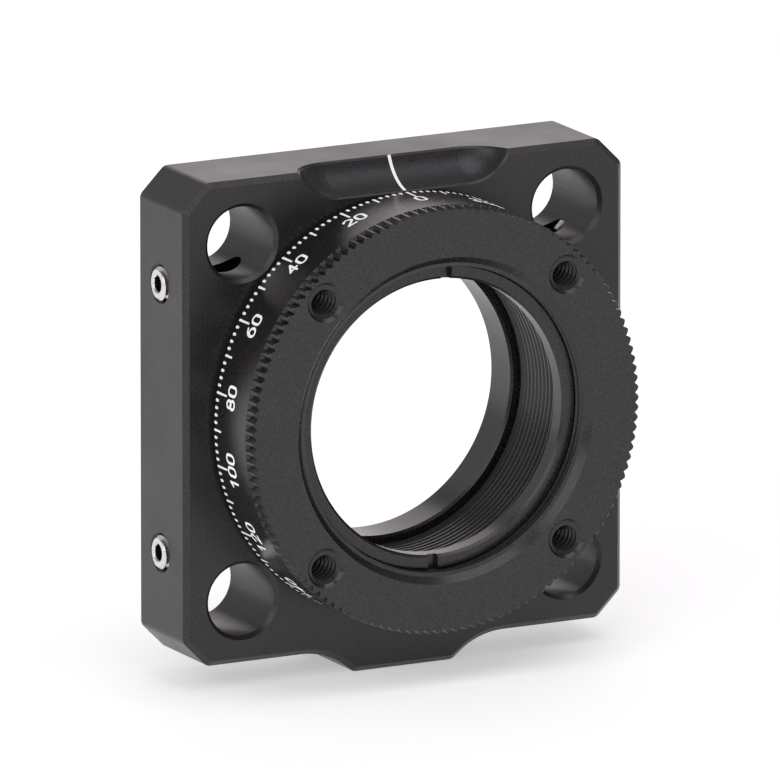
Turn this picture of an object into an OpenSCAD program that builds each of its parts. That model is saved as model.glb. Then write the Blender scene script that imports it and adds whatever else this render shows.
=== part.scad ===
// Rotation mount for 25.4 mm optics, for 6 mm rod cages on a 30 mm square.
// Frame: +X to the right and +Z up as seen from the front, +Y along the optical
// axis towards the rear.  The origin lies on the optical axis in the front face
// of the square plate, and the turning dial stands out of it towards -Y.

/* [Plate] */
// Width and height of the square plate
plate_w = 40.6; // [40.2:0.1:42]
// Thickness of the plate along the optical axis
plate_t = 8.4; // [8.2:0.1:10]
// Size of the 45 degree cut across each corner
corner_cut = 2.2; // [1.5:0.1:2.8]
// Radius that blends each cut into its neighbours
corner_round = 0.8; // [0.6:0.1:1.2]
// Bevel around the front and rear outlines
edge_bevel = 0.45; // [0.2:0.05:0.55]

/* [Foot] */
// How far the foot stands below the square
foot_drop = 2; // [1.6:0.1:2.6]
// Width of the foot's flat underside
foot_w = 8.6; // [7:0.1:10]
// Slope of the foot's flanks
foot_slope = 39; // [35:1:45]
// Radius of the hollow between flank and square
foot_fillet = 6.5; // [5:0.1:7]
// Diameter of the post screw's thread, no. 8 size
post_thread_d = 4.17; // [3.5:0.01:4.5]
// Depth of the post thread
post_depth = 6; // [4:0.5:6]

/* [Index scoop] */
// Radius of the round scoop that carries the index line
scoop_r = 3.95; // [3.5:0.05:4.2]
// Half the straight length of the scoop
scoop_half = 6.1; // [5:0.1:6.5]
// Scoop centre ahead of the plate's front face
scoop_ahead = 0.85; // [0.6:0.05:1.1]
// Scoop centre above the top face
scoop_above = 1.45; // [1.3:0.05:1.8]
// Width of the break along the scoop's edges
scoop_break = 0.16; // [0.1:0.02:0.3]

/* [Cage rods] */
// Distance between rod centres
rod_pitch = 30; // [30:30]
// Diameter of the rod bores
rod_bore_d = 6.06; // [6.02:0.01:6.1]
// Depth of the 45 degree countersinks on the bores
rod_sink = 0.33; // [0.2:0.01:0.4]
// Distance of each clamp screw from the plate's middle plane
rod_screw_z = 11.3; // [11.2:0.1:11.4]
// Distance of every side screw behind the plate's front face
side_screw_y = 4.45; // [4.2:0.05:4.6]

/* [Set screws] */
// Outer diameter of the no. 4 screw thread
screw_d = 2.8; // [2.7:0.01:2.84]
// Radial room between a screw and its hole
screw_room = 0.05; // [0.03:0.01:0.08]
// Length of a clamp screw
rod_screw_len = 4.2; // [3.8:0.05:4.3]
// How far a clamp screw stands out of the plate's side
rod_screw_proud = 0.25; // [0:0.05:0.3]
// Length of the dial lock screw
lock_screw_len = 3.2; // [2.5:0.1:3.6]
// Hex socket across flats
hex_af = 1.27; // [1.2:0.01:1.35]
// Depth of the hex socket
hex_depth = 1.4; // [1:0.1:1.6]
// Diameter of the nylon tip on the lock screw
tip_d = 1.5; // [1.2:0.1:1.6]
// Gap between the nylon tip and the dial's hub when the dial is free
tip_gap = 0.15; // [0.1:0.01:0.2]

/* [Dial] */
// Outer diameter of the dial
dial_d = 35.7; // [35:0.1:35.9]
// How far the dial's face stands ahead of the plate
dial_front = 7.4; // [7:0.1:8]
// Gap between dial and plate, filled by the front washer
dial_gap = 0.4; // [0.3:0.05:0.6]
// Diameter of the hub that turns in the plate
hub_d = 29; // [28.6:0.1:29.4]
// Radial running clearance of the hub
hub_clearance = 0.05; // [0.03:0.01:0.08]
// Depth of the hub's rear end behind the plate's front face
hub_rear = 7.95; // [7.8:0.05:8.1]
// Outer diameter of the 40 per inch optic thread
optic_thread_d = 26.29; // [26.2:0.01:26.4]
// Place of the seat that stops the optic
seat_y = 4.25; // [4:0.05:4.5]
// Diameter of the clear hole behind the seat
seat_hole_d = 24.26; // [23.5:0.1:24.8]
// Diameter of the circle of accessory holes in the dial's face
face_hole_circle = 31.5; // [31:0.1:31.8]
// Diameter of the accessory holes, no. 4 thread
face_hole_d = 2.84; // [2.7:0.01:2.9]
// Depth of the accessory holes
face_hole_depth = 5; // [3:0.5:5.5]

/* [Optic ring] */
// Turns of thread between the ring and the optic's seat
ring_turns_to_seat = 13; // [6:1:14]
// Thickness of the ring
ring_t = 1.8; // [1.5:0.1:2]
// Clear diameter of the ring
ring_hole_d = 23.15; // [22.8:0.05:23.4]
// Radial play of the ring in its thread
ring_play = 0.045; // [0.02:0.005:0.08]
// Width of the two spanner slots
ring_slot_w = 0.95; // [0.8:0.05:1.2]
// Depth of the two spanner slots
ring_slot_depth = 0.7; // [0.5:0.1:0.9]
// Turn of the ring's slots from the vertical, seen from the front
ring_slot_turn = 4; // [-90:1:90]

/* [Rear bearing] */
// Diameter of the recess in the plate's back
recess_d = 32.4; // [31.8:0.1:32.6]
// Depth of the recess floor behind the plate's front face
recess_y = 5.9; // [5.7:0.1:6]
// Thickness of the rear washer
rear_washer_t = 0.3; // [0.2:0.05:0.4]
// Thickness of the wave spring's strip
wave_t = 0.2; // [0.15:0.05:0.25]
// Height that the wave spring fills
wave_h = 0.6; // [0.5:0.05:0.7]
// Number of waves around the spring
wave_count = 4; // [3:1:6]
// Thickness of the threaded clamp ring
clamp_t = 1.1; // [0.9:0.05:1.2]

/* [Hidden] */
$fn = 96;
eps = 0.5;                       // how far cutters reach past a face
thread_pitch = 25.4 / 40;        // both thread sizes have 40 turns per inch
half = plate_w / 2;
foot_z = -half - foot_drop;
hub_r = hub_d / 2;
hub_bore_r = hub_r + hub_clearance;
optic_thread_r = optic_thread_d / 2;
screw_r = screw_d / 2;
screw_hole_r = screw_r + screw_room;
screw_sink = 0.25;               // countersink depth of the side screw holes
screw_hole_end = 12.8;           // inner end of a clamp screw hole, from the middle
drill_cone = tan(31);            // depth of a 118 degree drill point per radius
ring_rear_y = seat_y - ring_turns_to_seat * thread_pitch;
ring_front_y = ring_rear_y - ring_t;
clamp_front_y = recess_y + rear_washer_t + wave_h;
neck_y = clamp_front_y;          // the hub is stepped down for the clamp ring
neck_r = hub_r - 0.3;
clamp_room = 0.03;               // radial room between clamp ring and hub neck
anodised = [0.17, 0.16, 0.17];
steel = [0.78, 0.78, 0.76];
nylon = [0.93, 0.92, 0.86];
ptfe = [0.9, 0.9, 0.88];

// Points of an arc about a centre, moved inwards by `inset`.  A positive radius
// is an outer corner and a negative one a hollow; angles are those of the
// outward normal.
function arc_points(centre, radius, from, to, steps, inset) = [
  for (i = [0 : steps])
    let (a = from + (to - from) * i / steps)
      centre + (radius - inset) * [cos(a), sin(a)]
];

// One quarter corner of the square: two small rounds with the cut between them.
function corner_points(sx, sz, inset) =
  let (
    far = half - corner_cut - corner_round * tan(22.5),
    near = half - corner_round,
    turn = sx > 0 ? (sz > 0 ? 0 : -90) : (sz > 0 ? 90 : 180),
    first = sx * sz > 0 ? [sx * near, sz * far] : [sx * far, sz * near],
    second = sx * sz > 0 ? [sx * far, sz * near] : [sx * near, sz * far]
  )
    concat(
      arc_points(first, corner_round, turn, turn + 45, 5, inset),
      arc_points(second, corner_round, turn + 45, turn + 90, 5, inset)
    );

// Right flank of the foot, from its underside up to the square's lower edge.
foot_low = [foot_w / 2, foot_z + corner_round];
foot_high_z = -half - foot_fillet;
foot_high = [
  foot_low[0] + (corner_round + foot_fillet
    - (foot_low[1] - foot_high_z) * cos(foot_slope)) / sin(foot_slope),
  foot_high_z
];

function foot_right(inset) = concat(
  arc_points(foot_low, corner_round, -90, foot_slope - 90, 4, inset),
  arc_points(foot_high, -foot_fillet, foot_slope - 90, -90, 8, inset)
);

function foot_left(inset) = [
  for (i = [len(foot_right(inset)) - 1 : -1 : 0])
    [-foot_right(inset)[i][0], foot_right(inset)[i][1]]
];

function plate_outline(inset) = concat(
  foot_right(inset),
  corner_points(1, -1, inset),
  corner_points(1, 1, inset),
  corner_points(-1, 1, inset),
  corner_points(-1, -1, inset),
  foot_left(inset)
);

// Whether point i of a ring and the next one lie at the same height.
function is_level(ring, i) = abs(ring[i + 1][2] - ring[i][2]) < 0.001;

// End face of a ring whose second half mirrors its first, as strips that each
// run from a point and the next one to their mirror images.  Above a level edge
// a strip begins with a corner on each side.
function end_strips(ring) =
  let (n = len(ring))
    [
      for (i = [0 : n / 2 - 2])
        if (!is_level(ring, i))
          each i > 0 && is_level(ring, i - 1)
            ? [[i - 1, i, i + 1], [i - 1, i + 1, n - 2 - i, n - i], [n - 2 - i, n - 1 - i, n - i]]
            : [[i, i + 1, n - 2 - i, n - 1 - i]]
    ];

// Solid through a row of mirrored rings of equally many points.
module ring_solid(rings) {
  count = len(rings[0]);
  last = len(rings) - 1;
  sides = [
    for (r = [0 : last - 1])
      for (i = [0 : count - 1])
        let (j = (i + 1) % count)
          [r * count + i, r * count + j, (r + 1) * count + j, (r + 1) * count + i]
  ];
  near_end = [
    for (strip = end_strips(rings[0]))
      [for (i = [len(strip) - 1 : -1 : 0]) strip[i]]
  ];
  far_end = [
    for (strip = end_strips(rings[last]))
      [for (i = strip) last * count + i]
  ];
  polyhedron(
    points = [for (ring = rings) for (p = ring) p],
    faces = concat(sides, near_end, far_end)
  );
}

// Cylinder and cone whose axis runs rearwards from y = `from`.
module along_y(from, length, r1, r2) {
  translate([0, from, 0]) rotate([-90, 0, 0])
    cylinder(h = length, r1 = r1, r2 = r2);
}

// A hole seen from the front: parallel bore with countersunk mouths.
module rod_bore() {
  r = rod_bore_d / 2;
  along_y(-eps, plate_t + 2 * eps, r, r);
  along_y(-eps, rod_sink + eps, r + rod_sink + eps, r);
  along_y(plate_t - rod_sink, rod_sink + eps, r, r + rod_sink + eps);
}

// A screw hole that enters the side at `half` and runs inwards to `end`.
module side_hole(end, cone) {
  depth = half - end;
  translate([half, 0, 0]) rotate([0, -90, 0]) {
    translate([0, 0, -eps]) cylinder(h = depth + eps, r = screw_hole_r);
    translate([0, 0, -eps])
      cylinder(h = screw_sink + eps, r1 = screw_hole_r + screw_sink + eps, r2 = screw_hole_r);
    if (cone)
      translate([0, 0, depth])
        cylinder(h = screw_hole_r * drill_cone, r1 = screw_hole_r, r2 = 0.01);
  }
}

// Cutter that breaks the scoop's edge in the face z = 0, which is `away` from
// the scoop's axis: a cone at each end, and a wedge-sided bar between them.
module scoop_break(away) {
  low_r = sqrt(scoop_r * scoop_r - away * away);
  high_r = low_r + scoop_break + eps;
  for (side = [-1, 1])
    translate([side * scoop_half, 0, -scoop_break])
      cylinder(h = scoop_break + eps, r1 = low_r, r2 = high_r);
  rotate([90, 0, 90]) translate([0, 0, -scoop_half])
    linear_extrude(2 * scoop_half)
      polygon([[-low_r, -scoop_break], [low_r, -scoop_break], [high_r, eps], [-high_r, eps]]);
}

// Long scoop with round ends across the top front edge, with its edges broken.
module scoop() {
  translate([0, -scoop_ahead, half + scoop_above]) rotate([0, 90, 0])
    rotate_extrude()
      for (side = [0, 1])
        mirror([0, side, 0]) {
          square([scoop_r, scoop_half]);
          translate([0, scoop_half]) intersection() {
            circle(r = scoop_r);
            square(scoop_r);
          }
        }
  translate([0, 0, half + scoop_above]) rotate([90, 0, 0]) scoop_break(scoop_ahead);
  translate([0, -scoop_ahead, half]) scoop_break(scoop_above);
}

module post_tap() {
  sink = 0.4;
  r = post_thread_d / 2;
  translate([0, plate_t / 2, foot_z]) {
    translate([0, 0, -eps]) cylinder(h = post_depth + eps, r = r);
    translate([0, 0, -eps]) cylinder(h = sink + eps, r1 = r + sink + eps, r2 = r);
    translate([0, 0, post_depth]) cylinder(h = r * drill_cone / 2, r1 = r, r2 = r / 2);
  }
}

module cage_plate() {
  color(anodised) difference() {
    ring_solid([
      for (step = [[0, edge_bevel], [edge_bevel, 0], [plate_t - edge_bevel, 0], [plate_t, edge_bevel]])
        [for (p = plate_outline(step[1])) [p[0], step[0], p[1]]]
    ]);
    along_y(-eps, plate_t + 2 * eps, hub_bore_r, hub_bore_r);
    along_y(recess_y, plate_t, recess_d / 2, recess_d / 2);
    for (sx = [-1, 1], sz = [-1, 1])
      translate([sx * rod_pitch / 2, 0, sz * rod_pitch / 2]) rod_bore();
    for (side = [0, 1], sz = [-1, 1])
      mirror([side, 0, 0])
        translate([0, side_screw_y, sz * rod_screw_z]) side_hole(screw_hole_end, true);
    translate([0, side_screw_y, 0]) side_hole(hub_r - 1, false);
    scoop();
    post_tap();
  }
}

module flat_ring(from, thickness, outer_r, inner_r) {
  difference() {
    along_y(from, thickness, outer_r, outer_r);
    along_y(from - eps, thickness + 2 * eps, inner_r, inner_r);
  }
}

module front_thrust_washer() {
  color(ptfe) flat_ring(-dial_gap, dial_gap, dial_d / 2 - 0.6, hub_bore_r + 0.1);
}

module rear_thrust_washer() {
  color(ptfe) flat_ring(recess_y, rear_washer_t, recess_d / 2 - 0.1, hub_bore_r + 0.05);
}

module face_hole() {
  sink = 0.26;
  r = face_hole_d / 2;
  front = -dial_front;
  along_y(front - eps, face_hole_depth + eps, r, r);
  along_y(front - eps, sink + eps, r + sink + eps, r);
  along_y(front + face_hole_depth, r * drill_cone, r, 0.01);
}

module rotating_dial() {
  dial_r = dial_d / 2;
  rim_bevel = 0.18;
  seat_bevel = 0.2;
  mouth = 0.55;
  outline = [
    [optic_thread_r + mouth, -dial_front],
    [dial_r - rim_bevel, -dial_front],
    [dial_r, -dial_front + rim_bevel],
    [dial_r, -dial_gap - rim_bevel],
    [dial_r - rim_bevel, -dial_gap],
    [hub_r, -dial_gap],
    [hub_r, neck_y],
    [neck_r, neck_y],
    [neck_r, hub_rear - rim_bevel],
    [neck_r - rim_bevel, hub_rear],
    [seat_hole_d / 2 + seat_bevel, hub_rear],
    [seat_hole_d / 2, hub_rear - seat_bevel],
    [seat_hole_d / 2, seat_y + seat_bevel],
    [seat_hole_d / 2 + seat_bevel, seat_y],
    [optic_thread_r, seat_y],
    [optic_thread_r, -dial_front + mouth]
  ];
  color(anodised) difference() {
    rotate([-90, 0, 0]) rotate_extrude() polygon(outline);
    for (a = [45 : 90 : 315])
      translate([face_hole_circle / 2 * cos(a), 0, face_hole_circle / 2 * sin(a)]) face_hole();
  }
}

// Thin strip bent into waves around the hub, clear of both neighbours.
module rear_wave_spring() {
  steps = 72;
  inner = hub_bore_r + 0.15;
  outer = recess_d / 2 - 0.3;
  middle = recess_y + rear_washer_t + wave_h / 2;
  swing = (wave_h - wave_t) / 2 - 0.03;
  function wave(a) = middle + swing * cos(wave_count * a);
  function at(r, a, y) = [r * cos(a), y, r * sin(a)];
  points = [
    for (i = [0 : steps - 1])
      let (a = 360 * i / steps, y = wave(360 * i / steps))
        each [
          at(inner, a, y - wave_t / 2), at(outer, a, y - wave_t / 2),
          at(outer, a, y + wave_t / 2), at(inner, a, y + wave_t / 2)
        ]
  ];
  faces = [
    for (i = [0 : steps - 1])
      for (k = [0 : 3])
        let (a = 4 * i, b = 4 * ((i + 1) % steps), n = (k + 1) % 4)
          [a + k, b + k, b + n, a + n]
  ];
  color(steel) polyhedron(points = points, faces = faces);
}

module rear_clamp_ring() {
  outer = recess_d / 2 - 0.15;
  inner = neck_r + clamp_room;
  slot_w = 1.2;
  slot_depth = 0.5;
  color(anodised) difference() {
    flat_ring(clamp_front_y, clamp_t, outer, inner);
    translate([-slot_w / 2, clamp_front_y + clamp_t - slot_depth, -outer - eps])
      cube([slot_w, slot_depth + eps, 2 * (outer + eps)]);
  }
}

module optic_retaining_ring() {
  outer = optic_thread_r - ring_play;
  inner = ring_hole_d / 2;
  bevel = 0.22;
  lead = 0.25;
  outline = [
    [inner + bevel, ring_front_y],
    [outer - lead, ring_front_y],
    [outer, ring_front_y + lead],
    [outer, ring_rear_y - lead],
    [outer - lead, ring_rear_y],
    [inner + bevel, ring_rear_y],
    [inner, ring_rear_y - bevel],
    [inner, ring_front_y + bevel]
  ];
  color(anodised) difference() {
    rotate([-90, 0, 0]) rotate_extrude() polygon(outline);
    rotate([0, ring_slot_turn, 0])
      translate([-ring_slot_w / 2, ring_front_y - eps, -outer - eps])
        cube([ring_slot_w, ring_slot_depth + eps, 2 * (outer + eps)]);
  }
}

// Headless screw: socket end `proud` of the side at `half`, point inwards.
module set_screw(proud, length, point, hole_d) {
  bevel = 0.2;
  outline = [
    [0, 0], [screw_r - bevel, 0], [screw_r, bevel],
    [screw_r, length - point], [screw_r - point, length], [0, length]
  ];
  socket_r = hex_af / sqrt(3);
  translate([half + proud, side_screw_y, 0]) rotate([0, -90, 0]) difference() {
    rotate_extrude() polygon(outline);
    translate([0, 0, -eps]) cylinder(h = hex_depth + eps, r = socket_r, $fn = 6);
    if (hole_d > 0)
      translate([0, 0, length - tip_d / 2]) cylinder(h = tip_d, r = hole_d / 2);
  }
}

module rod_screw(sx, sz) {
  color(steel) mirror([sx > 0 ? 0 : 1, 0, 0])
    translate([0, 0, sz * rod_screw_z]) set_screw(rod_screw_proud, rod_screw_len, 0.65, 0);
}

module dial_lock_screw() {
  color(steel) set_screw(0, lock_screw_len, 0.3, tip_d);
}

module lock_screw_tip() {
  from = hub_r + tip_gap;
  to = half - lock_screw_len + tip_d / 2;
  color(nylon) translate([from, side_screw_y, 0]) rotate([0, 90, 0])
    cylinder(h = to - from, r = tip_d / 2);
}

cage_plate();
front_thrust_washer();
rear_thrust_washer();
rotating_dial();
rear_wave_spring();
rear_clamp_ring();
optic_retaining_ring();
rod_screw(-1, 1);  // rod_screw_upper_left
rod_screw(1, 1);  // rod_screw_upper_right
rod_screw(-1, -1);  // rod_screw_lower_left
rod_screw(1, -1);  // rod_screw_lower_right
dial_lock_screw();
lock_screw_tip();
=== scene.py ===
"""Looks of a rotation mount for 25.4 mm optics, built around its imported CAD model.

Sizes are millimetres in the frame of the part's source: +X to the right and +Z
up as seen from the front, +Y rearwards along the optical axis, and the origin on
that axis in the plate's front face.  New pieces are modelled with one unit to
the millimetre, and each is scaled to metres as it is completed.
"""

from __future__ import annotations

import logging
import math
from collections.abc import Callable, Iterator, Sequence
from contextlib import contextmanager
from dataclasses import dataclass, field
from enum import Enum

import bmesh
import bpy
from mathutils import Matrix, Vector

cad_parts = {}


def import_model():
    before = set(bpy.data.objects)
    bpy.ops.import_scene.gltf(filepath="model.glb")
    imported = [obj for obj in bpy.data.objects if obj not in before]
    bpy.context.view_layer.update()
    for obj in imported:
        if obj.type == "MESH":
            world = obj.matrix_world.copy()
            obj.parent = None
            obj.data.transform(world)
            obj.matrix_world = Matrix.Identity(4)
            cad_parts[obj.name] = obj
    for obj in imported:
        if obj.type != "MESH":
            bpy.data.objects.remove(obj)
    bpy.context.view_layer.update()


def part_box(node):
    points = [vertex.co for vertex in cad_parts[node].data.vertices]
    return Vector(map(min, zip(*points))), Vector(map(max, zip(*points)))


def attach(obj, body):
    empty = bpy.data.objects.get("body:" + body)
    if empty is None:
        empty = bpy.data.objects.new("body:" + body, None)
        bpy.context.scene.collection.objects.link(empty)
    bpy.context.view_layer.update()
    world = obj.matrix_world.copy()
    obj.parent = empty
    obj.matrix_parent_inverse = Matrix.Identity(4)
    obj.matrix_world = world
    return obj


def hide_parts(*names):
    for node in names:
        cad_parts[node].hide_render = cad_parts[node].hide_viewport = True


LOG = logging.getLogger("rotation_mount")
MM = 0.001
TURN = 2 * math.pi
FINE_PITCH = 25.4 / 40
POST_PITCH = 25.4 / 32
MERGE_DISTANCE = 1e-4
DRILL_SLOPE = math.tan(math.radians(31))  # depth of a drill point per radius

Point = tuple[float, float]
Object = bpy.types.Object
Material = bpy.types.Material
Socket = bpy.types.NodeSocket


class Join(Enum):
    """How one solid is combined with another."""

    UNION = "UNION"
    CUT = "DIFFERENCE"
    KEEP_COMMON = "INTERSECT"


class Side(Enum):
    """The side of the plate that a screw enters, as the sign of X there."""

    LEFT = -1
    RIGHT = 1


# ---------------------------------------------------------------- the work bench


def deselect_all() -> None:
    """Leaves edit mode, with nothing selected."""
    if bpy.context.object is not None and bpy.context.object.mode != "OBJECT":
        bpy.ops.object.mode_set(mode="OBJECT")
    bpy.ops.object.select_all(action="DESELECT")


def activate(*objects: Object) -> None:
    """Selects objects and makes the first one active.

    Args:
        *objects: the objects.
    """
    deselect_all()
    for obj in objects:
        obj.select_set(True)
    bpy.context.view_layer.objects.active = objects[0]


@contextmanager
def editing(obj: Object) -> Iterator[None]:
    """Edit mode on one object, with all of it selected at the start.

    Args:
        obj: the object to edit.

    Yields:
        Nothing, while edit mode is on.
    """
    activate(obj)
    bpy.ops.object.mode_set(mode="EDIT")
    bpy.ops.mesh.select_mode(type="VERT")
    bpy.ops.mesh.select_all(action="SELECT")
    yield
    bpy.ops.object.mode_set(mode="OBJECT")


def select_vertices(obj: Object, test: Callable[[Vector], bool]) -> None:
    """Selects, in edit mode, the vertices whose place passes a test.

    Args:
        obj: the object in edit mode.
        test: says for a vertex's place whether to select it.
    """
    bpy.ops.mesh.select_all(action="DESELECT")
    mesh = bmesh.from_edit_mesh(obj.data)
    for vertex in mesh.verts:
        vertex.select_set(test(vertex.co))
    mesh.select_flush_mode()
    bmesh.update_edit_mesh(obj.data)


def apply_place(obj: Object) -> None:
    """Moves the object's place, turn and scale into its mesh."""
    activate(obj)
    bpy.ops.object.transform_apply(location=True, rotation=True, scale=True)


def place(
    obj: Object,
    turn: Sequence[float] = (0.0, 0.0, 0.0),
    shift: Sequence[float] = (0.0, 0.0, 0.0),
) -> Object:
    """Turns an object about the origin, shifts it, and applies both.

    Args:
        obj: the object to move.
        turn: angles about X, Y and Z, in degrees.
        shift: distances along X, Y and Z, after the turn.

    Returns:
        The same object.
    """
    obj.rotation_euler = [math.radians(angle) for angle in turn]
    obj.location = shift
    apply_place(obj)
    return obj


def copy_of(obj: Object, name: str) -> Object:
    """Copies an object with its mesh.

    Args:
        obj: the object to copy.
        name: name of the copy.

    Returns:
        The copy, with a mesh of its own.
    """
    activate(obj)
    bpy.ops.object.duplicate()
    twin = bpy.context.object
    twin.name = name
    return twin


def join_all(objects: Sequence[Object], name: str) -> Object:
    """Joins objects into the first one and names it.

    Args:
        objects: the objects to join.
        name: name of the joined object.

    Returns:
        The joined object.
    """
    activate(*objects)
    if len(objects) > 1:
        bpy.ops.object.join()
    objects[0].name = name
    return objects[0]


def combine(target: Object, tool: Object, how: Join) -> Object:
    """Combines a solid with a tool solid, and removes the tool.

    Args:
        target: the solid that is changed.
        tool: the solid that cuts it or is added to it.
        how: whether the tool is added, cut away, or kept in common.

    Returns:
        The changed solid.
    """
    modifier = target.modifiers.new("Combine", "BOOLEAN")
    modifier.operation = how.value
    modifier.solver = "EXACT"
    modifier.object = tool
    activate(target)
    bpy.ops.object.modifier_apply(modifier=modifier.name)
    bpy.data.objects.remove(tool)
    return target


def draw_outline(name: str, points: Sequence[Point], closed: bool = True) -> Object:
    """Draws an outline in the plane of X and Y by extruding one vertex.

    Args:
        name: name of the new object.
        points: the outline's points, as radius and place along the axis.
        closed: whether the last point is joined to the first.

    Returns:
        The new object, with edges only.
    """
    deselect_all()
    bpy.ops.mesh.primitive_circle_add(vertices=3, radius=MERGE_DISTANCE)
    obj = bpy.context.object
    obj.name = name
    with editing(obj):
        bpy.ops.mesh.merge(type="CENTER")
        bpy.ops.transform.translate(value=(*points[0], 0.0))
        for start, end in zip(points, points[1:]):
            step = (end[0] - start[0], end[1] - start[1], 0.0)
            bpy.ops.mesh.extrude_vertices_move(TRANSFORM_OT_translate={"value": step})
        if closed:
            ends = [Vector((*points[0], 0.0)), Vector((*points[-1], 0.0))]
            select_vertices(
                obj, lambda co: any((co - end).length < MERGE_DISTANCE for end in ends)
            )
            bpy.ops.mesh.edge_face_add()
    return obj


def revolve(obj: Object, steps: int) -> Object:
    """Turns an outline about the optical axis into a closed solid."""
    with editing(obj):
        bpy.ops.mesh.spin(steps=steps, angle=TURN, center=(0, 0, 0), axis=(0, 1, 0))
        tidy_shell()
    return obj


def tidy_shell() -> None:
    """Merges the doubles of the mesh in edit mode and turns its faces outwards."""
    bpy.ops.mesh.select_all(action="SELECT")
    bpy.ops.mesh.remove_doubles(threshold=MERGE_DISTANCE)
    bpy.ops.mesh.normals_make_consistent(inside=False)


def turned_solid(name: str, points: Sequence[Point], steps: int) -> Object:
    """A solid turned from an outline of radius and place along the axis."""
    return revolve(draw_outline(name, points), steps)


def repeat_around(obj: Object, count: int) -> Object:
    """Repeats a mesh evenly around the optical axis.

    Args:
        obj: the mesh to repeat.
        count: how many there are in the end.

    Returns:
        The same object, with all of them in it.
    """
    with editing(obj):
        bpy.ops.mesh.spin(
            steps=count - 1,
            dupli=True,
            angle=TURN * (count - 1) / count,
            center=(0, 0, 0),
            axis=(0, 1, 0),
        )
    return obj


def complete(
    obj: Object, body: str, material: Material, crease: float = 32.0
) -> Object:
    """Scales a modelled piece to metres, shades it, and puts it on its body.

    Args:
        obj: the piece, modelled in millimetres.
        body: the CAD body that it moves with.
        material: its material.
        crease: edges sharper than this many degrees stay sharp.

    Returns:
        The finished piece.
    """
    obj.scale = (MM, MM, MM)
    apply_place(obj)
    bpy.ops.object.shade_smooth_by_angle(angle=math.radians(crease))
    obj.data.materials.clear()
    obj.data.materials.append(material)
    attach(obj, body)
    LOG.info("%s: %d faces on body %s", obj.name, len(obj.data.polygons), body)
    return obj


# --------------------------------------------------------------------- finishes


class Graph:
    """A material's nodes, with short calls to add and join them."""

    pattern_low: float = 0.3
    pattern_high: float = 0.7

    def __init__(self, name: str) -> None:
        """Starts a material that has one shader and its output.

        Args:
            name: name of the material.
        """
        self.material = bpy.data.materials.new(name)
        self.material.use_nodes = True
        self.nodes = self.material.node_tree.nodes
        self.links = self.material.node_tree.links
        self.shader = self.nodes["Principled BSDF"]

    def add(self, kind: str, **inputs: object) -> bpy.types.Node:
        """Adds a node.

        Args:
            kind: the node's type name.
            **inputs: input values, or sockets to link, with _ for a space.

        Returns:
            The new node.
        """
        node = self.nodes.new(kind)
        for key, value in inputs.items():
            self.set(node.inputs[key.replace("_", " ")], value)
        return node

    def set(self, socket: Socket, value: object) -> None:
        """Gives an input socket a value, or links an output to it.

        Args:
            socket: the input.
            value: the value, or the output to link.
        """
        if isinstance(value, Socket):
            self.links.new(value, socket)
        else:
            socket.default_value = value

    def maths(self, operation: str, first: object, second: object = 0.0) -> Socket:
        """Does a sum on one or two values or sockets.

        Args:
            operation: the sum's name.
            first: the first value or socket.
            second: the second one.

        Returns:
            The socket of the result.
        """
        node = self.nodes.new("ShaderNodeMath")
        node.operation = operation
        self.set(node.inputs[0], first)
        self.set(node.inputs[1], second)
        return node.outputs[0]

    def between(self, socket: Socket, low: float, high: float) -> Socket:
        """Maps a pattern that lies about the middle of 0 to 1 onto a range.

        Args:
            socket: the pattern.
            low: the range's lower end.
            high: its upper end.

        Returns:
            The socket of the mapped pattern.
        """
        node = self.add(
            "ShaderNodeMapRange",
            Value=socket,
            From_Min=self.pattern_low,
            From_Max=self.pattern_high,
            To_Min=low,
            To_Max=high,
        )
        return node.outputs["Result"]

    def noise(self, where: Socket, size: float, detail: float = 2.0) -> Socket:
        """A noise pattern whose blotches are about size millimetres wide."""
        node = self.add("ShaderNodeTexNoise", Vector=where, Scale=1 / (size * MM), Detail=detail)
        return node.outputs["Fac"]

    def object_place(self) -> Socket:
        """Each point's place in the frame."""
        return self.nodes.new("ShaderNodeTexCoord").outputs["Object"]

    def lathe_place(self) -> Socket:
        """Gives each point's radius and place along the optical axis.

        Returns:
            The socket of the place that turning marks follow.
        """
        split = self.add("ShaderNodeSeparateXYZ", Vector=self.object_place())
        squares = [self.maths("MULTIPLY", split.outputs[axis], split.outputs[axis]) for axis in "XZ"]
        radius = self.maths("SQRT", self.maths("ADD", *squares))
        return self.add("ShaderNodeCombineXYZ", X=radius, Y=split.outputs["Y"]).outputs["Vector"]

    def bump(self, height: Socket, depth: float, below: object = None) -> Socket:
        """Makes a bump, over another if there is one.

        Args:
            height: the pattern that gives the height.
            depth: how deep the bump is, in millimetres.
            below: the normal of the bump underneath.

        Returns:
            The socket of the bumped normal.
        """
        node = self.add("ShaderNodeBump", Height=height, Distance=depth * MM, Strength=1.0)
        if below is not None:
            self.set(node.inputs["Normal"], below)
        return node.outputs["Normal"]


def tinted(
    graph: Graph, pattern: Socket, low: Sequence[float], high: Sequence[float]
) -> None:
    """Lets the shader's colour wander between two colours.

    Args:
        graph: the material's nodes.
        pattern: the pattern that the colour follows.
        low: the colour where the pattern is low.
        high: the colour where it is high.
    """
    node = graph.nodes.new("ShaderNodeMix")
    node.data_type = "RGBA"
    graph.set(node.inputs["Factor"], graph.between(pattern, 0.0, 1.0))
    colours = [socket for socket in node.inputs if socket.type == "RGBA"]
    colours[0].default_value = (*low, 1.0)
    colours[1].default_value = (*high, 1.0)
    result = next(socket for socket in node.outputs if socket.type == "RGBA")
    graph.set(graph.shader.inputs["Base Color"], result)


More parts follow.
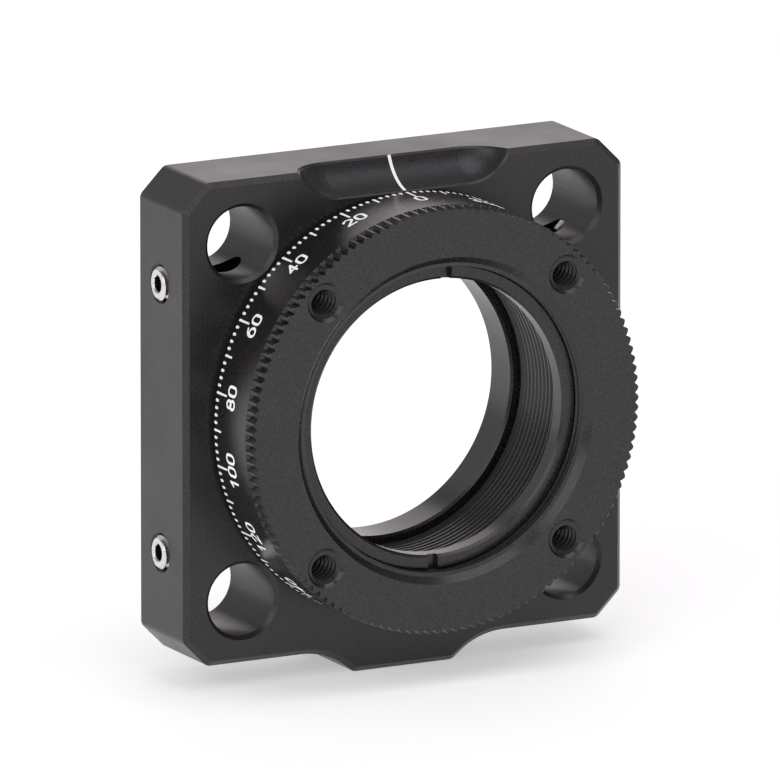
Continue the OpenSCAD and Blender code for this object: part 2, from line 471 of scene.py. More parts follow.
@dataclass(frozen=True)
class Anodised:
    """Black anodised aluminium, etched matte, with turning marks if it was turned."""

    name: str
    dark: tuple[float, float, float] = (0.0035, 0.0027, 0.0034)
    light: tuple[float, float, float] = (0.0288, 0.0254, 0.029)
    roughness: tuple[float, float] = (0.4, 0.5)
    grain: float = 0.15
    grain_detail: float = 3.0
    grain_depth: float = 0.008
    blotch: float = 6.0
    turning: float = 0.0
    turning_depth: float = 0.003

    def material(self) -> Material:
        """Builds the material.

        Returns:
            The new material.
        """
        graph = Graph(self.name)
        where = graph.object_place()
        grain = graph.noise(where, self.grain, self.grain_detail)
        tinted(graph, grain, self.dark, self.light)
        blotches = graph.noise(where, self.blotch, 2.0)
        graph.set(graph.shader.inputs["Roughness"], graph.between(blotches, *self.roughness))
        normal = graph.bump(grain, self.grain_depth)
        if self.turning > 0:
            marks = graph.noise(graph.lathe_place(), self.turning, 2.0)
            normal = graph.bump(marks, self.turning_depth, normal)
        graph.set(graph.shader.inputs["Normal"], normal)
        return graph.material


@dataclass(frozen=True)
class BareSteel:
    """Stainless steel with fine marks from turning or rolling."""

    name: str
    dark: tuple[float, float, float] = (0.62, 0.6, 0.57)
    light: tuple[float, float, float] = (0.8, 0.78, 0.75)
    roughness: tuple[float, float] = (0.2, 0.34)
    grain: float = 0.12
    grain_detail: float = 3.0
    grain_depth: float = 0.004

    def material(self) -> Material:
        """Builds the material.

        Returns:
            The new material.
        """
        graph = Graph(self.name)
        grain = graph.noise(graph.object_place(), self.grain, self.grain_detail)
        tinted(graph, grain, self.dark, self.light)
        graph.set(graph.shader.inputs["Roughness"], graph.between(grain, *self.roughness))
        graph.set(graph.shader.inputs["Normal"], graph.bump(grain, self.grain_depth))
        graph.shader.inputs["Metallic"].default_value = 1.0
        return graph.material


@dataclass(frozen=True)
class Matte:
    """A pale matte surface: filled engraving, plastic, or the studio floor."""

    name: str
    dark: tuple[float, float, float]
    light: tuple[float, float, float]
    roughness: float = 0.6
    grain: float = 0.2
    grain_depth: float = 0.004
    # glow: emission strength; on the engraving paint a painted glow, on the floor an even
    # brightness.
    glow: float = 0.0

    def material(self) -> Material:
        """Builds the material.

        Returns:
            The new material.
        """
        graph = Graph(self.name)
        grain = graph.noise(graph.object_place(), self.grain, 2.0)
        tinted(graph, grain, self.dark, self.light)
        graph.set(graph.shader.inputs["Normal"], graph.bump(grain, self.grain_depth))
        graph.shader.inputs["Roughness"].default_value = self.roughness
        graph.shader.inputs["Emission Color"].default_value = (1, 1, 1, 1)
        graph.shader.inputs["Emission Strength"].default_value = self.glow
        return graph.material


@dataclass
class Finishes:
    """Every finish of the mount, made once."""

    milled: Material = field(init=False)
    turned: Material = field(init=False)
    ring: Material = field(init=False)
    threads: Material = field(init=False)
    paint: Material = field(init=False)
    steel: Material = field(init=False)
    # socket: a dark steel that paints shade into the hex sockets of the screws.
    socket: Material = field(init=False)
    washer: Material = field(init=False)
    nylon: Material = field(init=False)

    def __post_init__(self) -> None:
        """Builds the materials."""
        self.milled = Anodised(
            "milled_anodise", roughness=(0.3, 0.38), grain_depth=0.011
        ).material()
        self.turned = Anodised("turned_anodise", roughness=(0.2, 0.26), turning=0.05).material()
        self.ring = Anodised("ring_anodise", roughness=(0.2, 0.26), turning=0.05).material()
        self.threads = Anodised(
            "thread_anodise", roughness=(0.22, 0.3), grain_depth=0.003
        ).material()
        # The engraving paint glows faintly: painted light that keeps the scale and figures bright
        # white.
        self.paint = Matte(
            "engraving_paint", (0.93, 0.93, 0.92), (0.97, 0.97, 0.96), glow=0.2
        ).material()
        self.steel = BareSteel("stainless_steel").material()
        # Painted shade: a dark steel for the walls and bottom of the hex sockets.
        self.socket = BareSteel(
            "broached_socket", (0.05, 0.045, 0.04), (0.11, 0.1, 0.09), (0.4, 0.5)
        ).material()
        self.washer = Matte(
            "washer_plastic", (0.74, 0.74, 0.71), (0.8, 0.8, 0.77), 0.45
        ).material()
        self.nylon = Matte("nylon", (0.74, 0.72, 0.64), (0.82, 0.8, 0.72), 0.4).material()


# ---------------------------------------------------------------------- threads


@dataclass(frozen=True)
class Thread:
    """A screw thread of 60 degrees, made as one helical ridge about the Y axis.

    The ridge stands on a wall: inwards from a hole's wall at major_r if internal,
    and outwards from the root if not.
    """

    pitch: float
    major_r: float
    internal: bool
    steps: int = 96
    embed: float = 0.015
    flat: float = 1 / 8
    height: float = 0.541
    flank_angle: float = 30.0
    spare_turns: int = 2

    @property
    def depth(self) -> float:
        """Radial height of the ridge."""
        return self.height * self.pitch

    def outline(self, middle: float) -> list[Point]:
        """Draws the ridge's section.

        Args:
            middle: the place of its middle along the axis.

        Returns:
            Its corners, as radius and place along the axis.
        """
        foot = self.pitch * (1 - self.flat) / 2
        crest = foot - self.depth * math.tan(math.radians(self.flank_angle))
        if self.internal:
            foot_r, crest_r = self.major_r + self.embed, self.major_r - self.depth
        else:
            foot_r, crest_r = self.major_r - self.depth - self.embed, self.major_r
        return [
            (foot_r, middle - foot),
            (crest_r, middle - crest),
            (crest_r, middle + crest),
            (foot_r, middle + foot),
        ]

    def ridge(self, name: str, low: float, high: float, phase: float = 0.0) -> Object:
        """Makes the ridge between two places along the axis.

        Args:
            name: name of the new object.
            low: where the thread begins, along the axis.
            high: where it ends.
            phase: shift along the axis, in turns.

        Returns:
            The ridge, as a closed solid.
        """
        first = (math.floor(low / self.pitch) - self.spare_turns + phase) * self.pitch
        obj = draw_outline(name, self.outline(first))
        helix = obj.modifiers.new("Helix", "SCREW")
        helix.axis = "Y"
        helix.angle = TURN
        helix.screw_offset = self.pitch
        helix.iterations = math.ceil((high - low) / self.pitch) + 2 * self.spare_turns + 1
        helix.steps = helix.render_steps = self.steps
        activate(obj)
        bpy.ops.object.modifier_apply(modifier=helix.name)
        with editing(obj):
            tidy_shell()
            bpy.ops.mesh.bisect(
                plane_co=(0, low, 0), plane_no=(0, 1, 0), use_fill=True, clear_inner=True
            )
            bpy.ops.mesh.select_all(action="SELECT")
            bpy.ops.mesh.bisect(
                plane_co=(0, high, 0), plane_no=(0, 1, 0), use_fill=True, clear_outer=True
            )
            tidy_shell()
        return obj


# --------------------------------------------------------------------- the dial


@dataclass
class Stroke:
    """One engraved line with round ends, or a closed loop."""

    points: list[Point]
    closed: bool = False


def arc(
    centre: Point, radii: Point, start: float, end: float, steps: int = 8
) -> list[Point]:
    """Lays points on part of an ellipse.

    Args:
        centre: the ellipse's centre.
        radii: its two radii.
        start: the angle of the first point, in degrees.
        end: the angle of the last one.
        steps: how many steps there are between them.

    Returns:
        The points.
    """
    angles = [math.radians(start + (end - start) * step / steps) for step in range(steps + 1)]
    return [(centre[0] + radii[0] * math.cos(a), centre[1] + radii[1] * math.sin(a)) for a in angles]


@dataclass
class Numerals:
    """The engraved figures, drawn with a round cutter on a cell of one digit."""

    height: float = 1.55
    width: float = 0.98
    line: float = 0.28
    spacing: float = 1.1
    proud: float = 0.012
    sunk: float = 0.03
    cap_shares: tuple[float, ...] = (1.0, 0.92, 0.7, 0.38)
    least_share: float = 0.02

    def strokes(self, figure: str) -> list[Stroke]:
        """Draws a figure, about the middle of its foot.

        Args:
            figure: one of the digits that the scale needs.

        Returns:
            Its strokes.
        """
        top = self.height - self.line
        half = (self.width - self.line) / 2
        low, high = top * 0.31, top * 0.73
        shapes = {
            "0": [
                Stroke(
                    arc((0, top - half), (half, half), 0, 180, 10)
                    + arc((0, half), (half, half), 180, 360, 10),
                    True,
                )
            ],
            "1": [Stroke([(0.12, 0), (0.12, top)]), Stroke([(0.1, top), (-0.2, top * 0.76)])],
            "2": [
                Stroke(arc((0, top - half), (half, half), 165, -35, 10) + [(-half, 0.02)]),
                Stroke([(-half, 0), (half, 0)]),
            ],
            "3": [
                Stroke(arc((-0.02, high), (half * 0.86, top - high), 155, -90, 9)),
                Stroke(arc((-0.02, low), (half, low), 90, -155, 9)),
            ],
            "4": [
                Stroke([(0.14, 0), (0.14, top)]),
                Stroke([(0.14, top), (-half, low)]),
                Stroke([(-half, low), (half, low)]),
            ],
            "6": [
                Stroke(arc((0, low * 1.12), (half, low * 1.12), 0, 360, 14)[:-1], True),
                Stroke(
                    [(-half, low * 1.12)]
                    + arc((half * 0.75, low * 1.5), (half * 1.72, top - low * 1.5), 170, 100, 5)
                ),
            ],
            "8": [
                Stroke(arc((0, high), (half * 0.84, top - high), 0, 360, 12)[:-1], True),
                Stroke(arc((0, low * 0.92), (half, low * 0.92), 0, 360, 12)[:-1], True),
            ],
        }
        return shapes[figure]

    def with_caps(self, stroke: Stroke) -> tuple[list[Point], list[float]]:
        """Adds the round ends of a stroke.

        Args:
            stroke: the line that the cutter's centre follows.

        Returns:
            The line's points, and the cutter's width at each as a share.
        """
        if stroke.closed:
            return stroke.points, [1.0] * len(stroke.points)
        first, second = Vector(stroke.points[0]), Vector(stroke.points[1])
        last, before = Vector(stroke.points[-1]), Vector(stroke.points[-2])
        reach = self.line / 2
        back, ahead = (first - second).normalized() * reach, (last - before).normalized() * reach
        shares = [math.sqrt(max(0.0, 1 - share * share)) for share in self.cap_shares]
        heads = [tuple(first + back * share) for share in self.cap_shares]
        tails = [tuple(last + ahead * share) for share in reversed(self.cap_shares)]
        ends = [max(share, self.least_share) for share in shares]
        return heads + stroke.points + tails, ends + [1.0] * len(stroke.points) + ends[::-1]

    def bead(self, stroke: Stroke) -> Object:
        """Fills a stroke with paint.

        Args:
            stroke: the line that the cutter's centre follows.

        Returns:
            A flat bead in the plane of X and Y.
        """
        points, shares = self.with_caps(stroke)
        obj = draw_outline("stroke", points, stroke.closed)
        activate(obj)
        bpy.ops.object.convert(target="CURVE")
        curve = bpy.context.object.data
        curve.dimensions = "3D"
        curve.bevel_depth = self.line / 2
        curve.bevel_resolution = 1
        curve.use_fill_caps = True
        spline = curve.splines[0]
        ordered = (Vector(spline.points[0].co[:2]) - Vector(points[0])).length < MERGE_DISTANCE
        for point, share in zip(spline.points, shares if ordered else shares[::-1]):
            point.radius = share
        bpy.ops.object.convert(target="MESH")
        bead = bpy.context.object
        bead.scale.z = (self.proud + self.sunk) / self.line
        apply_place(bead)
        return bead

    def figure(self, figure: str) -> Object:
        """Makes one figure.

        Args:
            figure: the digit.

        Returns:
            The figure in the plane of X and Y, standing on the X axis.
        """
        beads = [self.bead(stroke) for stroke in self.strokes(figure)]
        shift = (0, self.line / 2, (self.proud - self.sunk) / 2)
        return place(join_all(beads, f"figure_{figure}"), shift=shift)


@dataclass
class RotatingDial:
    """The turned dial: knurled rim, threaded bore, tapped face and engraved scale."""

    finishes: Finishes
    body: str = "dial"
    radius: float = 17.85
    face_y: float = -7.4
    back_y: float = -0.4
    hub_r: float = 14.5
    neck_y: float = 6.8
    neck_r: float = 14.2
    rear_y: float = 7.95
    rim_bevel: float = 0.18
    face_bevel: float = 0.08
    bore_r: float = 13.145
    mouth: float = 0.55
    undercut: float = 0.02
    seat_y: float = 4.25
    seat_r: float = 12.13
    seat_bevel: float = 0.2
    teeth: int = 132
    tooth_columns: int = 5
    knurl_root: float = 17.5
    knurl_end: float = -6.03
    knurl_runout: float = 0.16
    tap_r: float = 1.42
    tap_circle_r: float = 15.75
    tap_depth: float = 5.0
    tap_sink: float = 0.26
    scale_rear: float = -0.52
    scale_turn: float = 0.5
    tick_sizes: tuple[Point, Point, Point] = ((0.27, 0.52), (0.22, 1.2), (0.22, 1.76))
    tick_sunk: float = 0.04
    tick_thickness: float = 0.05
    figures_foot: float = -3.88
    figure_step: int = 20

    @property
    def columns(self) -> int:
        """Vertices around the rim: each tooth has two on its crest, then flank, root, flank."""
        return self.tooth_columns * self.teeth

    @property
    def figure_count(self) -> int:
        """Numbers around the scale."""
        return 360 // self.figure_step

    def outline(self) -> list[Point]:
        """Draws the dial's section, from the bore's mouth round the outside to the seat.

        Returns:
            Its corners, as radius and place along the axis.
        """
        return [
            (self.bore_r + self.mouth, self.face_y),
            (self.radius - self.face_bevel, self.face_y),
            (self.radius, self.face_y + self.face_bevel),
            (self.radius, self.knurl_end - self.knurl_runout),
            (self.radius, self.knurl_end),
            (self.radius, self.back_y - self.rim_bevel),
            (self.radius - self.rim_bevel, self.back_y),
            (self.hub_r, self.back_y),
            (self.hub_r, self.neck_y),
            (self.neck_r, self.neck_y),
            (self.neck_r, self.rear_y - self.rim_bevel),
            (self.neck_r - self.rim_bevel, self.rear_y),
            (self.seat_r + self.seat_bevel, self.rear_y),
            (self.seat_r, self.rear_y - self.seat_bevel),
            (self.seat_r, self.seat_y + self.seat_bevel),
            (self.seat_r + self.seat_bevel, self.seat_y),
            (self.bore_r, self.seat_y),
            (self.bore_r, self.face_y + self.mouth),
        ]

    def is_on_rim(self, co: Vector, column: int, radius: float) -> bool:
        """Says whether a vertex is in a column of the knurl and at a radius.

        Args:
            co: the vertex's place.
            column: the column, counted within a tooth.
            radius: the radius.

        Returns:
            Whether it is.
        """
        front = self.knurl_end - self.knurl_runout / 2
        around = round(math.atan2(co.z, co.x) / TURN * self.columns)
        on_row = abs(math.hypot(co.x, co.z) - radius) < self.face_bevel / 4
        return co.y < front and on_row and around % self.tooth_columns == column

    def press_knurl(self, obj: Object) -> None:
        """Presses the roots and flanks of the rim's teeth inwards to form the knurl.

        Args:
            obj: the turned dial.
        """
        flank_r = (self.radius + self.knurl_root) / 2
        pressed = {2: flank_r, 3: self.knurl_root, 4: flank_r}
        with editing(obj):
            for column, pressed_r in pressed.items():
                for radius in (self.radius, self.radius - self.face_bevel):
                    select_vertices(obj, lambda co: self.is_on_rim(co, column, radius))
                    share = pressed_r / radius
                    bpy.ops.transform.resize(value=(share, 1, share), center_override=(0, 0, 0))

    def tap_places(self) -> list[Point]:
        """X and Z of the face's tapped holes."""
        angles = [math.radians(45 + 90 * quarter) for quarter in range(4)]
        return [(self.tap_circle_r * math.cos(a), self.tap_circle_r * math.sin(a)) for a in angles]

    def four_of(self, obj: Object) -> Object:
        """Copies a tool or thread from the axis to every tapped hole.

        Args:
            obj: the tool or thread.

        Returns:
            One object with all four.
        """
        copies = [place(copy_of(obj, obj.name), shift=(x, 0, z)) for x, z in self.tap_places()[1:]]
        x, z = self.tap_places()[0]
        return join_all([place(obj, shift=(x, 0, z)), *copies], obj.name)

    def drill(self) -> Object:
        """Makes the tool that drills and countersinks a tapped hole.

        Returns:
            The tool, on the axis.
        """
        beyond = 0.5
        bottom = self.face_y + self.tap_depth
        outline = [
            (0, self.face_y - beyond),
            (self.tap_r + self.tap_sink + beyond, self.face_y - beyond),
            (self.tap_r, self.face_y + self.tap_sink),
            (self.tap_r, bottom),
            (0, bottom + self.tap_r * DRILL_SLOPE),
        ]
        return turned_solid("drill", outline, steps=40)

    def build_body(self) -> None:
        """Turns the dial, knurls its rim and drills its face."""
        obj = turned_solid("dial_body", self.outline(), steps=self.columns)
        self.press_knurl(obj)
        combine(obj, self.four_of(self.drill()), Join.CUT)
        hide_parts("rotating_dial")
        complete(obj, self.body, self.finishes.turned)

    def build_threads(self) -> None:
        """Cuts the optic thread in the bore and the threads in the face."""
        bore = Thread(FINE_PITCH, self.bore_r, internal=True, steps=128)
        ridge = bore.ridge("dial_bore_thread", self.face_y + self.mouth, self.seat_y - self.undercut)
        complete(ridge, self.body, self.finishes.threads)
        tap = Thread(FINE_PITCH, self.tap_r, internal=True, steps=32)
        depth = self.face_y + self.tap_depth
        ridges = self.four_of(tap.ridge("dial_tap_threads", self.face_y + self.tap_sink, depth))
        complete(ridges, self.body, self.finishes.threads)

    def tick(self, size: Point, angle: float) -> Object:
        """One mark of the scale.

        Args:
            size: its width and length.
            angle: its angle from the zero mark, in degrees.

        Returns:
            The mark, as a bar with round ends.
        """
        deselect_all()
        width, length = size
        start = (0, self.scale_rear - width / 2, self.radius - self.tick_sunk)
        bpy.ops.mesh.primitive_circle_add(
            vertices=8, radius=width / 2, fill_type="NGON", location=start
        )
        obj = bpy.context.object
        apply_place(obj)
        with editing(obj):
            raised = {"value": (0, 0, self.tick_thickness)}
            bpy.ops.mesh.extrude_region_move(TRANSFORM_OT_translate=raised)
            select_vertices(obj, lambda co: co.y < self.scale_rear - width / 2 - MERGE_DISTANCE)
            bpy.ops.transform.translate(value=(0, width - length, 0))
            tidy_shell()
        return place(obj, turn=(0, -angle - self.scale_turn, 0))

    def build_scale(self) -> None:
        """Engraves a mark every 2 degrees, longer ones every 10 and 20."""
        short, medium, long = self.tick_sizes
        count = self.figure_count
        between = self.tick(medium, self.figure_step / 2)
        rows = [repeat_around(self.tick(long, 0), count), repeat_around(between, count)]
        rows += [repeat_around(self.tick(short, angle), 2 * count) for angle in (2, 4, 6, 8)]
        scale = join_all(rows, "dial_scale_marks")
        complete(scale, self.body, self.finishes.paint)

    def build_figures(self) -> None:
        """Engraves the figures, each digit square to the cutter as on the real rim."""
        style = Numerals()
        blanks = {figure: style.figure(figure) for figure in "0123468"}
        digits = []
        for number in range(0, 360, self.figure_step):
            text = str(number)
            for column, figure in enumerate(text):
                aside = (column - (len(text) - 1) / 2) * style.spacing
                shift = (0, self.figures_foot, self.radius)
                digit = place(copy_of(blanks[figure], "digit"), shift=shift)
                angle = number + self.scale_turn - math.degrees(aside / self.radius)
                digits.append(place(digit, turn=(0, -angle, 0)))
        for blank in blanks.values():
            bpy.data.objects.remove(blank)
        figures = join_all(digits, "dial_figures")
        complete(figures, self.body, self.finishes.paint, crease=60.0)

    def build(self) -> None:
        """Builds all of the dial."""
        self.build_body()
        self.build_threads()
        self.build_scale()
        self.build_figures()


# --------------------------------------------------------------- the optic's ring


@dataclass
class OpticRing:
    """The threaded ring that clamps the optic, with two spanner slots.

    Its thickness leaves a hair of room at the optic's seat when it is screwed home.
    """

    finishes: Finishes
    body: str = "optic_ring"
    crest_r: float = 13.1
    inner_r: float = 11.575
    thickness: float = 1.78
    bevel: float = 0.22
    slot_width: float = 0.9
    slot_depth: float = 0.5
    slot_turn: float = 3.0
    slot_aside: float = 0.2

    def build(self) -> None:
        """Turns the ring, threads its rim and cuts its slots."""
        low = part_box("optic_retaining_ring")[0].y / MM
        high = low + self.thickness
        thread = Thread(FINE_PITCH, self.crest_r, internal=False, steps=128)
        root = self.crest_r - thread.depth
        outline = [
            (self.inner_r + self.bevel, low),
            (root - self.bevel / 2, low),
            (root, low + self.bevel / 2),
            (root, high - self.bevel / 2),
            (root - self.bevel / 2, high),
            (self.inner_r + self.bevel, high),
            (self.inner_r, high - self.bevel),
            (self.inner_r, low + self.bevel),
        ]
        ring = turned_solid("optic_ring", outline, steps=192)
        lead = self.bevel / 2
        ridge = thread.ridge("ring_thread", low + lead, high - lead, 0.5)
        ring = combine(ring, ridge, Join.UNION)
        deselect_all()
        bpy.ops.mesh.primitive_cube_add(size=1, location=(0, low, 0))
        cutter = bpy.context.object
        across = 2.2 * self.crest_r
        cutter.scale = (self.slot_width, 2 * self.slot_depth, across)
        apply_place(cutter)
        place(cutter, turn=(0, self.slot_turn, 0), shift=(self.slot_aside, 0, 0))
        ring = combine(ring, cutter, Join.CUT)
        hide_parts("optic_retaining_ring")
        complete(ring, self.body, self.finishes.ring)


# --------------------------------------------------------------------- screws


@dataclass
class SetScrew:
    """A headless screw with a hex socket, modelled along Y with its socket at y = 0.

    socket_sink is how far the countersink is wider than the hexagon and how deep it
    is, and socket_drill is the radius and depth of the drill point at the bottom.
    overrun is how far the tools reach past the screw.
    """

    finishes: Finishes
    node: str
    body: str
    side: Side
    length: float
    point: float
    radius: float = 1.4
    lead: float = 0.2
    socket: float = 1.27
    socket_depth: float = 1.4
    socket_sink: Point = (0.07, 0.12)
    socket_drill: Point = (0.5, 0.25)
    bore_r: float = 0.0
    bore_depth: float = 0.75
    overrun: float = 0.3

    @property
    def corner_r(self) -> float:
        """Radius of the hexagon's corners."""
        return self.socket / math.sqrt(3)

    def envelope(self) -> Object:
        """Turns the blank that the thread is cut on.

        Returns:
            The blank, along Y.
        """
        outline = [
            (0, 0),
            (self.radius - self.lead, 0),
            (self.radius, self.lead),
            (self.radius, self.length - self.point),
            (self.radius - self.point, self.length),
            (0, self.length),
        ]
        return turned_solid("blank", outline, steps=48)

    def cut_socket(self, screw: Object) -> Object:
        """Broaches the hex socket and countersinks its mouth.

        Args:
            screw: the screw, along Y.

        Returns:
            The same screw.
        """
        deselect_all()
        bpy.ops.mesh.primitive_cylinder_add(
            vertices=6, radius=self.corner_r, depth=2 * self.socket_depth
        )
        hexagon = place(bpy.context.object, turn=(90, 0, 0))
        screw = combine(screw, hexagon, Join.CUT)
        beyond = self.overrun
        sink = self.corner_r + self.socket_sink[0]
        depth = self.socket_sink[1]
        outline = [(0, -beyond), (sink + beyond, -beyond), (sink - depth, depth), (0, beyond)]
        screw = combine(screw, turned_solid("countersink", outline, steps=40), Join.CUT)
        drill_r, drill_depth = self.socket_drill
        top = self.socket_depth - 0.1
        bottom = [(0, top), (drill_r, top), (0, self.socket_depth + drill_depth)]
        return combine(screw, turned_solid("drill_point", bottom, steps=24), Join.CUT)

    def finish_socket(self, screw: Object, mouth: Vector) -> None:
        """Paints shade on the walls and bottom of the socket, as a second, darker steel material.

        Args:
            screw: the finished screw, in metres.
            mouth: the middle of the socket's mouth, in millimetres.
        """
        # The dark steel paints shade on the faces inside the socket.
        screw.data.materials.append(self.finishes.socket)
        margin = 0.02
        reach = self.corner_r + margin
        deepest = self.socket_depth + self.overrun

        def is_inside(co: Vector) -> bool:
            """Whether a vertex is in the socket, below its countersink."""
            away = co / MM - mouth
            return margin < abs(away.x) < deepest and math.hypot(away.y, away.z) < reach

        with editing(screw):
            select_vertices(screw, is_inside)
            screw.active_material_index = 1
            bpy.ops.object.material_slot_assign()

    def build(self) -> None:
        """Threads the screw, cuts its socket, and puts it in its hole."""
        thread = Thread(FINE_PITCH, self.radius, internal=False, steps=40)
        root = self.radius - thread.depth
        beyond = self.overrun
        far = self.length + beyond
        core_outline = [(0, -beyond), (root, -beyond), (root, far), (0, far)]
        core = turned_solid("core", core_outline, steps=40)
        ridge = thread.ridge("ridge", -beyond / 2, self.length + beyond / 2)
        screw = combine(core, ridge, Join.UNION)
        screw = combine(screw, self.envelope(), Join.KEEP_COMMON)
        screw = self.cut_socket(screw)
        if self.bore_r > 0:
            floor, open_end = self.length - self.bore_depth, self.length + 1
            pocket = [(0, floor), (self.bore_r, floor), (self.bore_r, open_end), (0, open_end)]
            screw = combine(screw, turned_solid("pocket", pocket, steps=32), Join.CUT)
        low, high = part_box(self.node)
        centre = (low + high) / 2 / MM
        face_x = low.x / MM if self.side is Side.LEFT else high.x / MM
        mouth = Vector((face_x, centre.y, centre.z))
        place(screw, turn=(0, 0, 90 * self.side.value), shift=mouth)
        screw.name = self.node + "_threaded"
        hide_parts(self.node)
        complete(screw, self.body, self.finishes.steel, crease=28.0)
        self.finish_socket(screw, mouth)


# --------------------------------------------------------------------- the plate


@dataclass
class CagePlate:
    """The milled plate, with the index line in its scoop and the post thread."""

    finishes: Finishes
    body: str = "plate"
    half: float = 20.3
    scoop_r: float = 3.95
    scoop_ahead: float = 0.85
    scoop_above: float = 1.45
    line_width: float = 0.27
    line_thickness: float = 0.05
    line_proud: float = 0.012
    post_r: float = 2.085
    post_y: float = 4.2
    post_depth: float = 6.0
    post_sink: float = 0.4

    def build_index(self) -> None:
        """Lays the index line along the scoop, by spinning a small section."""
        centre_z = self.half + self.scoop_above
        start = math.acos(self.scoop_ahead / self.scoop_r)
        end = math.asin(self.scoop_above / self.scoop_r)
        deselect_all()
        bpy.ops.mesh.primitive_plane_add(size=1)
        obj = bpy.context.object
        obj.name = "index_line"
        obj.scale = (self.line_width, self.line_thickness, 1)
        apply_place(obj)
        place(obj, shift=(0, self.scoop_r + self.line_thickness / 2 - self.line_proud, 0))
        place(obj, turn=(-math.degrees(end), 0, 0))
        with editing(obj):
            bpy.ops.mesh.spin(steps=16, angle=start - end, center=(0, 0, 0), axis=(1, 0, 0))
            bpy.ops.mesh.select_all(action="SELECT")
            bpy.ops.mesh.normals_make_consistent(inside=False)
        place(obj, shift=(0, -self.scoop_ahead, centre_z))
        complete(obj, self.body, self.finishes.paint)

    def build_post_thread(self) -> None:
        """Threads the hole for the post in the foot."""
        thread = Thread(POST_PITCH, self.post_r, internal=True, steps=48)
        ridge = thread.ridge("post_tap_thread", self.post_sink, self.post_depth)
        foot_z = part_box("cage_plate")[0].z / MM
        place(ridge, turn=(90, 0, 0), shift=(0, self.post_y, foot_z))
        complete(ridge, self.body, self.finishes.threads)

    def build(self) -> None:
        """Dresses the plate and adds its marks and threads."""
        dress("cage_plate", self.finishes.milled)
        self.build_index()
        self.build_post_thread()


def dress(node: str, material: Material) -> None:
    """Gives a CAD node its material.

    Args:
        node: the node's name.
        material: its material.
    """
    slots = bpy.data.objects[node].data.materials
    slots.clear()
    slots.append(material)
    LOG.info("%s: dressed in %s", node, material.name)


@dataclass
class RearBearing:
    """The washers, wave spring, clamp ring and nylon tip, which keep their CAD shapes."""

    finishes: Finishes

    def build(self) -> None:
        """Dresses the bearing's pieces."""
        dress("front_thrust_washer", self.finishes.washer)
        dress("rear_thrust_washer", self.finishes.washer)
        dress("rear_wave_spring", self.finishes.steel)
        dress("rear_clamp_ring", self.finishes.turned)
        dress("lock_screw_tip", self.finishes.nylon)


# --------------------------------------------------------------------- the studio


@dataclass(frozen=True)
class SoftLight:
    """A square soft light aimed at the mount.

    Its azimuth is 0 in front and positive to the right, its elevation is above
    the floor, both in degrees, and its size and distance are in millimetres.
    """

    name: str
    azimuth: float
    elevation: float
    power: float
    colour: tuple[float, float, float] = (1.0, 1.0, 1.0)
    size: float = 700.0
    distance: float = 900.0


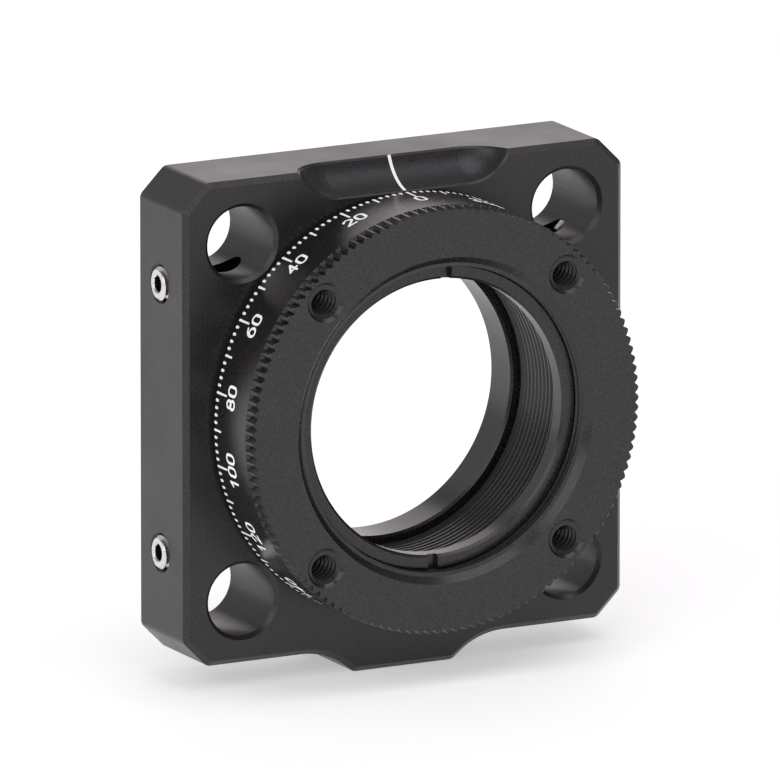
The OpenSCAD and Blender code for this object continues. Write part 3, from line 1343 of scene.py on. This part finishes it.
@dataclass
class Studio:
    """A pale floor, soft lights and the camera."""

    azimuth: float = -27.634
    elevation: float = 13.284
    distance: float = 1864.5
    lens: float = 1048.7
    target: tuple[float, float, float] = (-1.378, 0.0, 1.223)
    floor_size: float = 6000.0
    floor_glow: float = 0.42
    surroundings: float = 0.3
    lights: tuple[SoftLight, ...] = (
        SoftLight("back_right", 152, 16, 1.5, (1.0, 0.9, 0.92)),
        SoftLight("back_left", -152, 12, 0.48, (1.0, 0.92, 1.0)),
        SoftLight("front_left", -55, 30, 2.4),
        SoftLight("overhead", 20, 75, 2.6, (0.97, 0.92, 1.0)),
    )

    def towards(self, azimuth: float, elevation: float) -> Vector:
        """Finds the direction from the mount to a place.

        Args:
            azimuth: the place's angle around the mount, in degrees.
            elevation: its angle above the floor.

        Returns:
            The direction, one unit long.
        """
        across, up = math.radians(azimuth), math.radians(elevation)
        level = math.cos(up)
        return Vector((math.sin(across) * level, -math.cos(across) * level, math.sin(up)))

    def build_camera(self) -> None:
        """Sets the camera."""
        data = bpy.data.cameras.new("camera")
        data.lens = self.lens
        data.clip_end = 10.0
        camera = bpy.data.objects.new("camera", data)
        bpy.context.scene.collection.objects.link(camera)
        back = self.towards(self.azimuth, self.elevation)
        camera.location = (Vector(self.target) + back * self.distance) * MM
        camera.rotation_euler = (-back).to_track_quat("-Z", "Y").to_euler()
        bpy.context.scene.camera = camera

    def build_floor(self) -> None:
        """Lays the floor that the mount's foot stands on."""
        foot_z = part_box("cage_plate")[0].z
        deselect_all()
        bpy.ops.mesh.primitive_plane_add(size=self.floor_size * MM, location=(0, 0, foot_z))
        floor = bpy.context.object
        floor.name = "floor"
        apply_place(floor)
        sheet = Matte(
            "floor_sheet",
            (0.9, 0.9, 0.9),
            (0.92, 0.92, 0.92),
            roughness=0.7,
            grain=30.0,
            grain_depth=0.0,
            glow=self.floor_glow,
        )
        floor.data.materials.append(sheet.material())

    def add_light(self, soft: SoftLight) -> None:
        """Adds a soft light aimed at the mount.

        Args:
            soft: the light to add.
        """
        data = bpy.data.lights.new(soft.name, "AREA")
        data.energy = soft.power
        data.color = soft.colour
        data.size = soft.size * MM
        light = bpy.data.objects.new(soft.name, data)
        bpy.context.scene.collection.objects.link(light)
        back = self.towards(soft.azimuth, soft.elevation)
        light.location = back * soft.distance * MM
        light.rotation_euler = (-back).to_track_quat("-Z", "Y").to_euler()

    def build_lights(self) -> None:
        """Sets the lights, and surroundings that look white but light the mount softly."""
        world = bpy.data.worlds.new("surroundings")
        world.use_nodes = True
        background = world.node_tree.nodes["Background"]
        background.inputs["Color"].default_value = (1, 1, 1, 1)
        seen = world.node_tree.nodes.new("ShaderNodeMapRange")
        seen.inputs["To Min"].default_value = self.surroundings
        path = world.node_tree.nodes.new("ShaderNodeLightPath")
        world.node_tree.links.new(path.outputs["Is Camera Ray"], seen.inputs["Value"])
        world.node_tree.links.new(seen.outputs["Result"], background.inputs["Strength"])
        bpy.context.scene.world = world
        for soft in self.lights:
            self.add_light(soft)

    def build(self) -> None:
        """Builds the studio, with colours shown as they are."""
        bpy.context.scene.view_settings.view_transform = "Standard"
        self.build_camera()
        self.build_floor()
        self.build_lights()


def screws(finishes: Finishes) -> list[SetScrew]:
    """Lists the four clamp screws and the dial's lock screw.

    Args:
        finishes: the finishes of the mount.

    Returns:
        The screws, still to be built.
    """
    found = [
        SetScrew(
            finishes,
            node=f"rod_screw_{level}_{side.name.lower()}",
            body=f"clamp_screw_{level}_{side.name.lower()}",
            side=side,
            length=4.2,
            point=0.65,
        )
        for level in ("upper", "lower")
        for side in Side
    ]
    lock = SetScrew(
        finishes,
        node="dial_lock_screw",
        body="lock_screw",
        side=Side.RIGHT,
        length=3.2,
        point=0.3,
        bore_r=0.75,
    )
    return [*found, lock]


def main() -> None:
    """Builds every sub-assembly around the CAD frame."""
    logging.basicConfig(level=logging.INFO, format="%(name)s: %(message)s")
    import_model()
    Studio().build()
    finishes = Finishes()
    assemblies = [
        CagePlate(finishes),
        RotatingDial(finishes),
        OpticRing(finishes),
        RearBearing(finishes),
        *screws(finishes),
    ]
    for assembly in assemblies:
        assembly.build()


if __name__ == "__main__":
    main()
